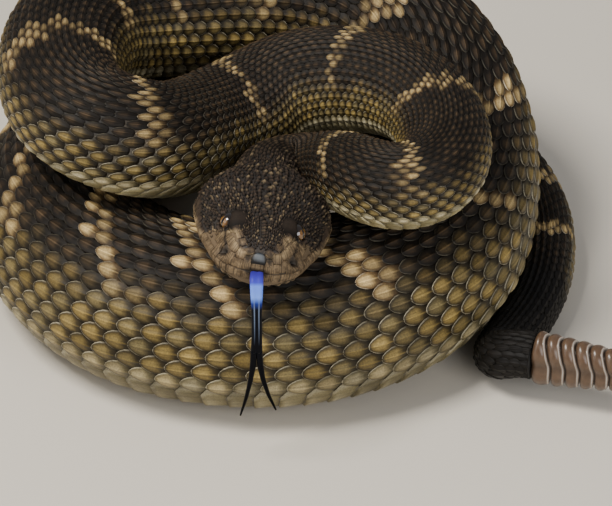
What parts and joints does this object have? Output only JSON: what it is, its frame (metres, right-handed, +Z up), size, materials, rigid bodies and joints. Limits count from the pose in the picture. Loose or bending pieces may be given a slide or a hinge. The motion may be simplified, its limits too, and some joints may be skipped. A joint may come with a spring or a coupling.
{
  "type": "rattlesnake model",
  "caption": "Life-size still model of a northern Pacific rattlesnake, coiled on the ground with its neck drawn into an S, head forward and forked tongue hanging out",
  "frame": {"origin": "Middle of the footprint of the bounding box, on the floor that the coil lies on", "axes": "+X is the animal's left, the way the rattle points; -Y is the way the head faces; +Z is up"},
  "size_m": [0.1559, 0.1413, 0.071],
  "materials": {
    "snake_skin": "matt scaled skin, dark blotches on olive",
    "head_skin": "matt scaled skin, blackish brown crown",
    "jaw_skin": "satin pale tan scales",
    "eye": "glossy golden eye with an upright slit",
    "tongue_flesh": "moist blue-black flesh",
    "tail_skin": "fine black scales",
    "rattle_horn": "translucent tan horn"
  },
  "bodies": {
    "root": {"head": "head_skin", "lower_jaw": "jaw_skin", "eye_left": "eye", "eye_right": "eye", "tongue": "tongue_flesh", "neck_1": "snake_skin", "neck_2": "snake_skin", "neck_3": "snake_skin", "forebody_1": "snake_skin", "forebody_2": "snake_skin", "forebody_3": "snake_skin", "forebody_4": "snake_skin", "forebody_5": "snake_skin", "midbody_1": "snake_skin", "midbody_2": "snake_skin", "midbody_3": "snake_skin", "midbody_4": "snake_skin", "midbody_5": "snake_skin", "midbody_6": "snake_skin", "hindbody_1": "snake_skin", "hindbody_2": "snake_skin", "hindbody_3": "snake_skin", "tail_1": "tail_skin", "tail_2": "tail_skin", "rattle": "rattle_horn"}
  },
  "joints": []
}
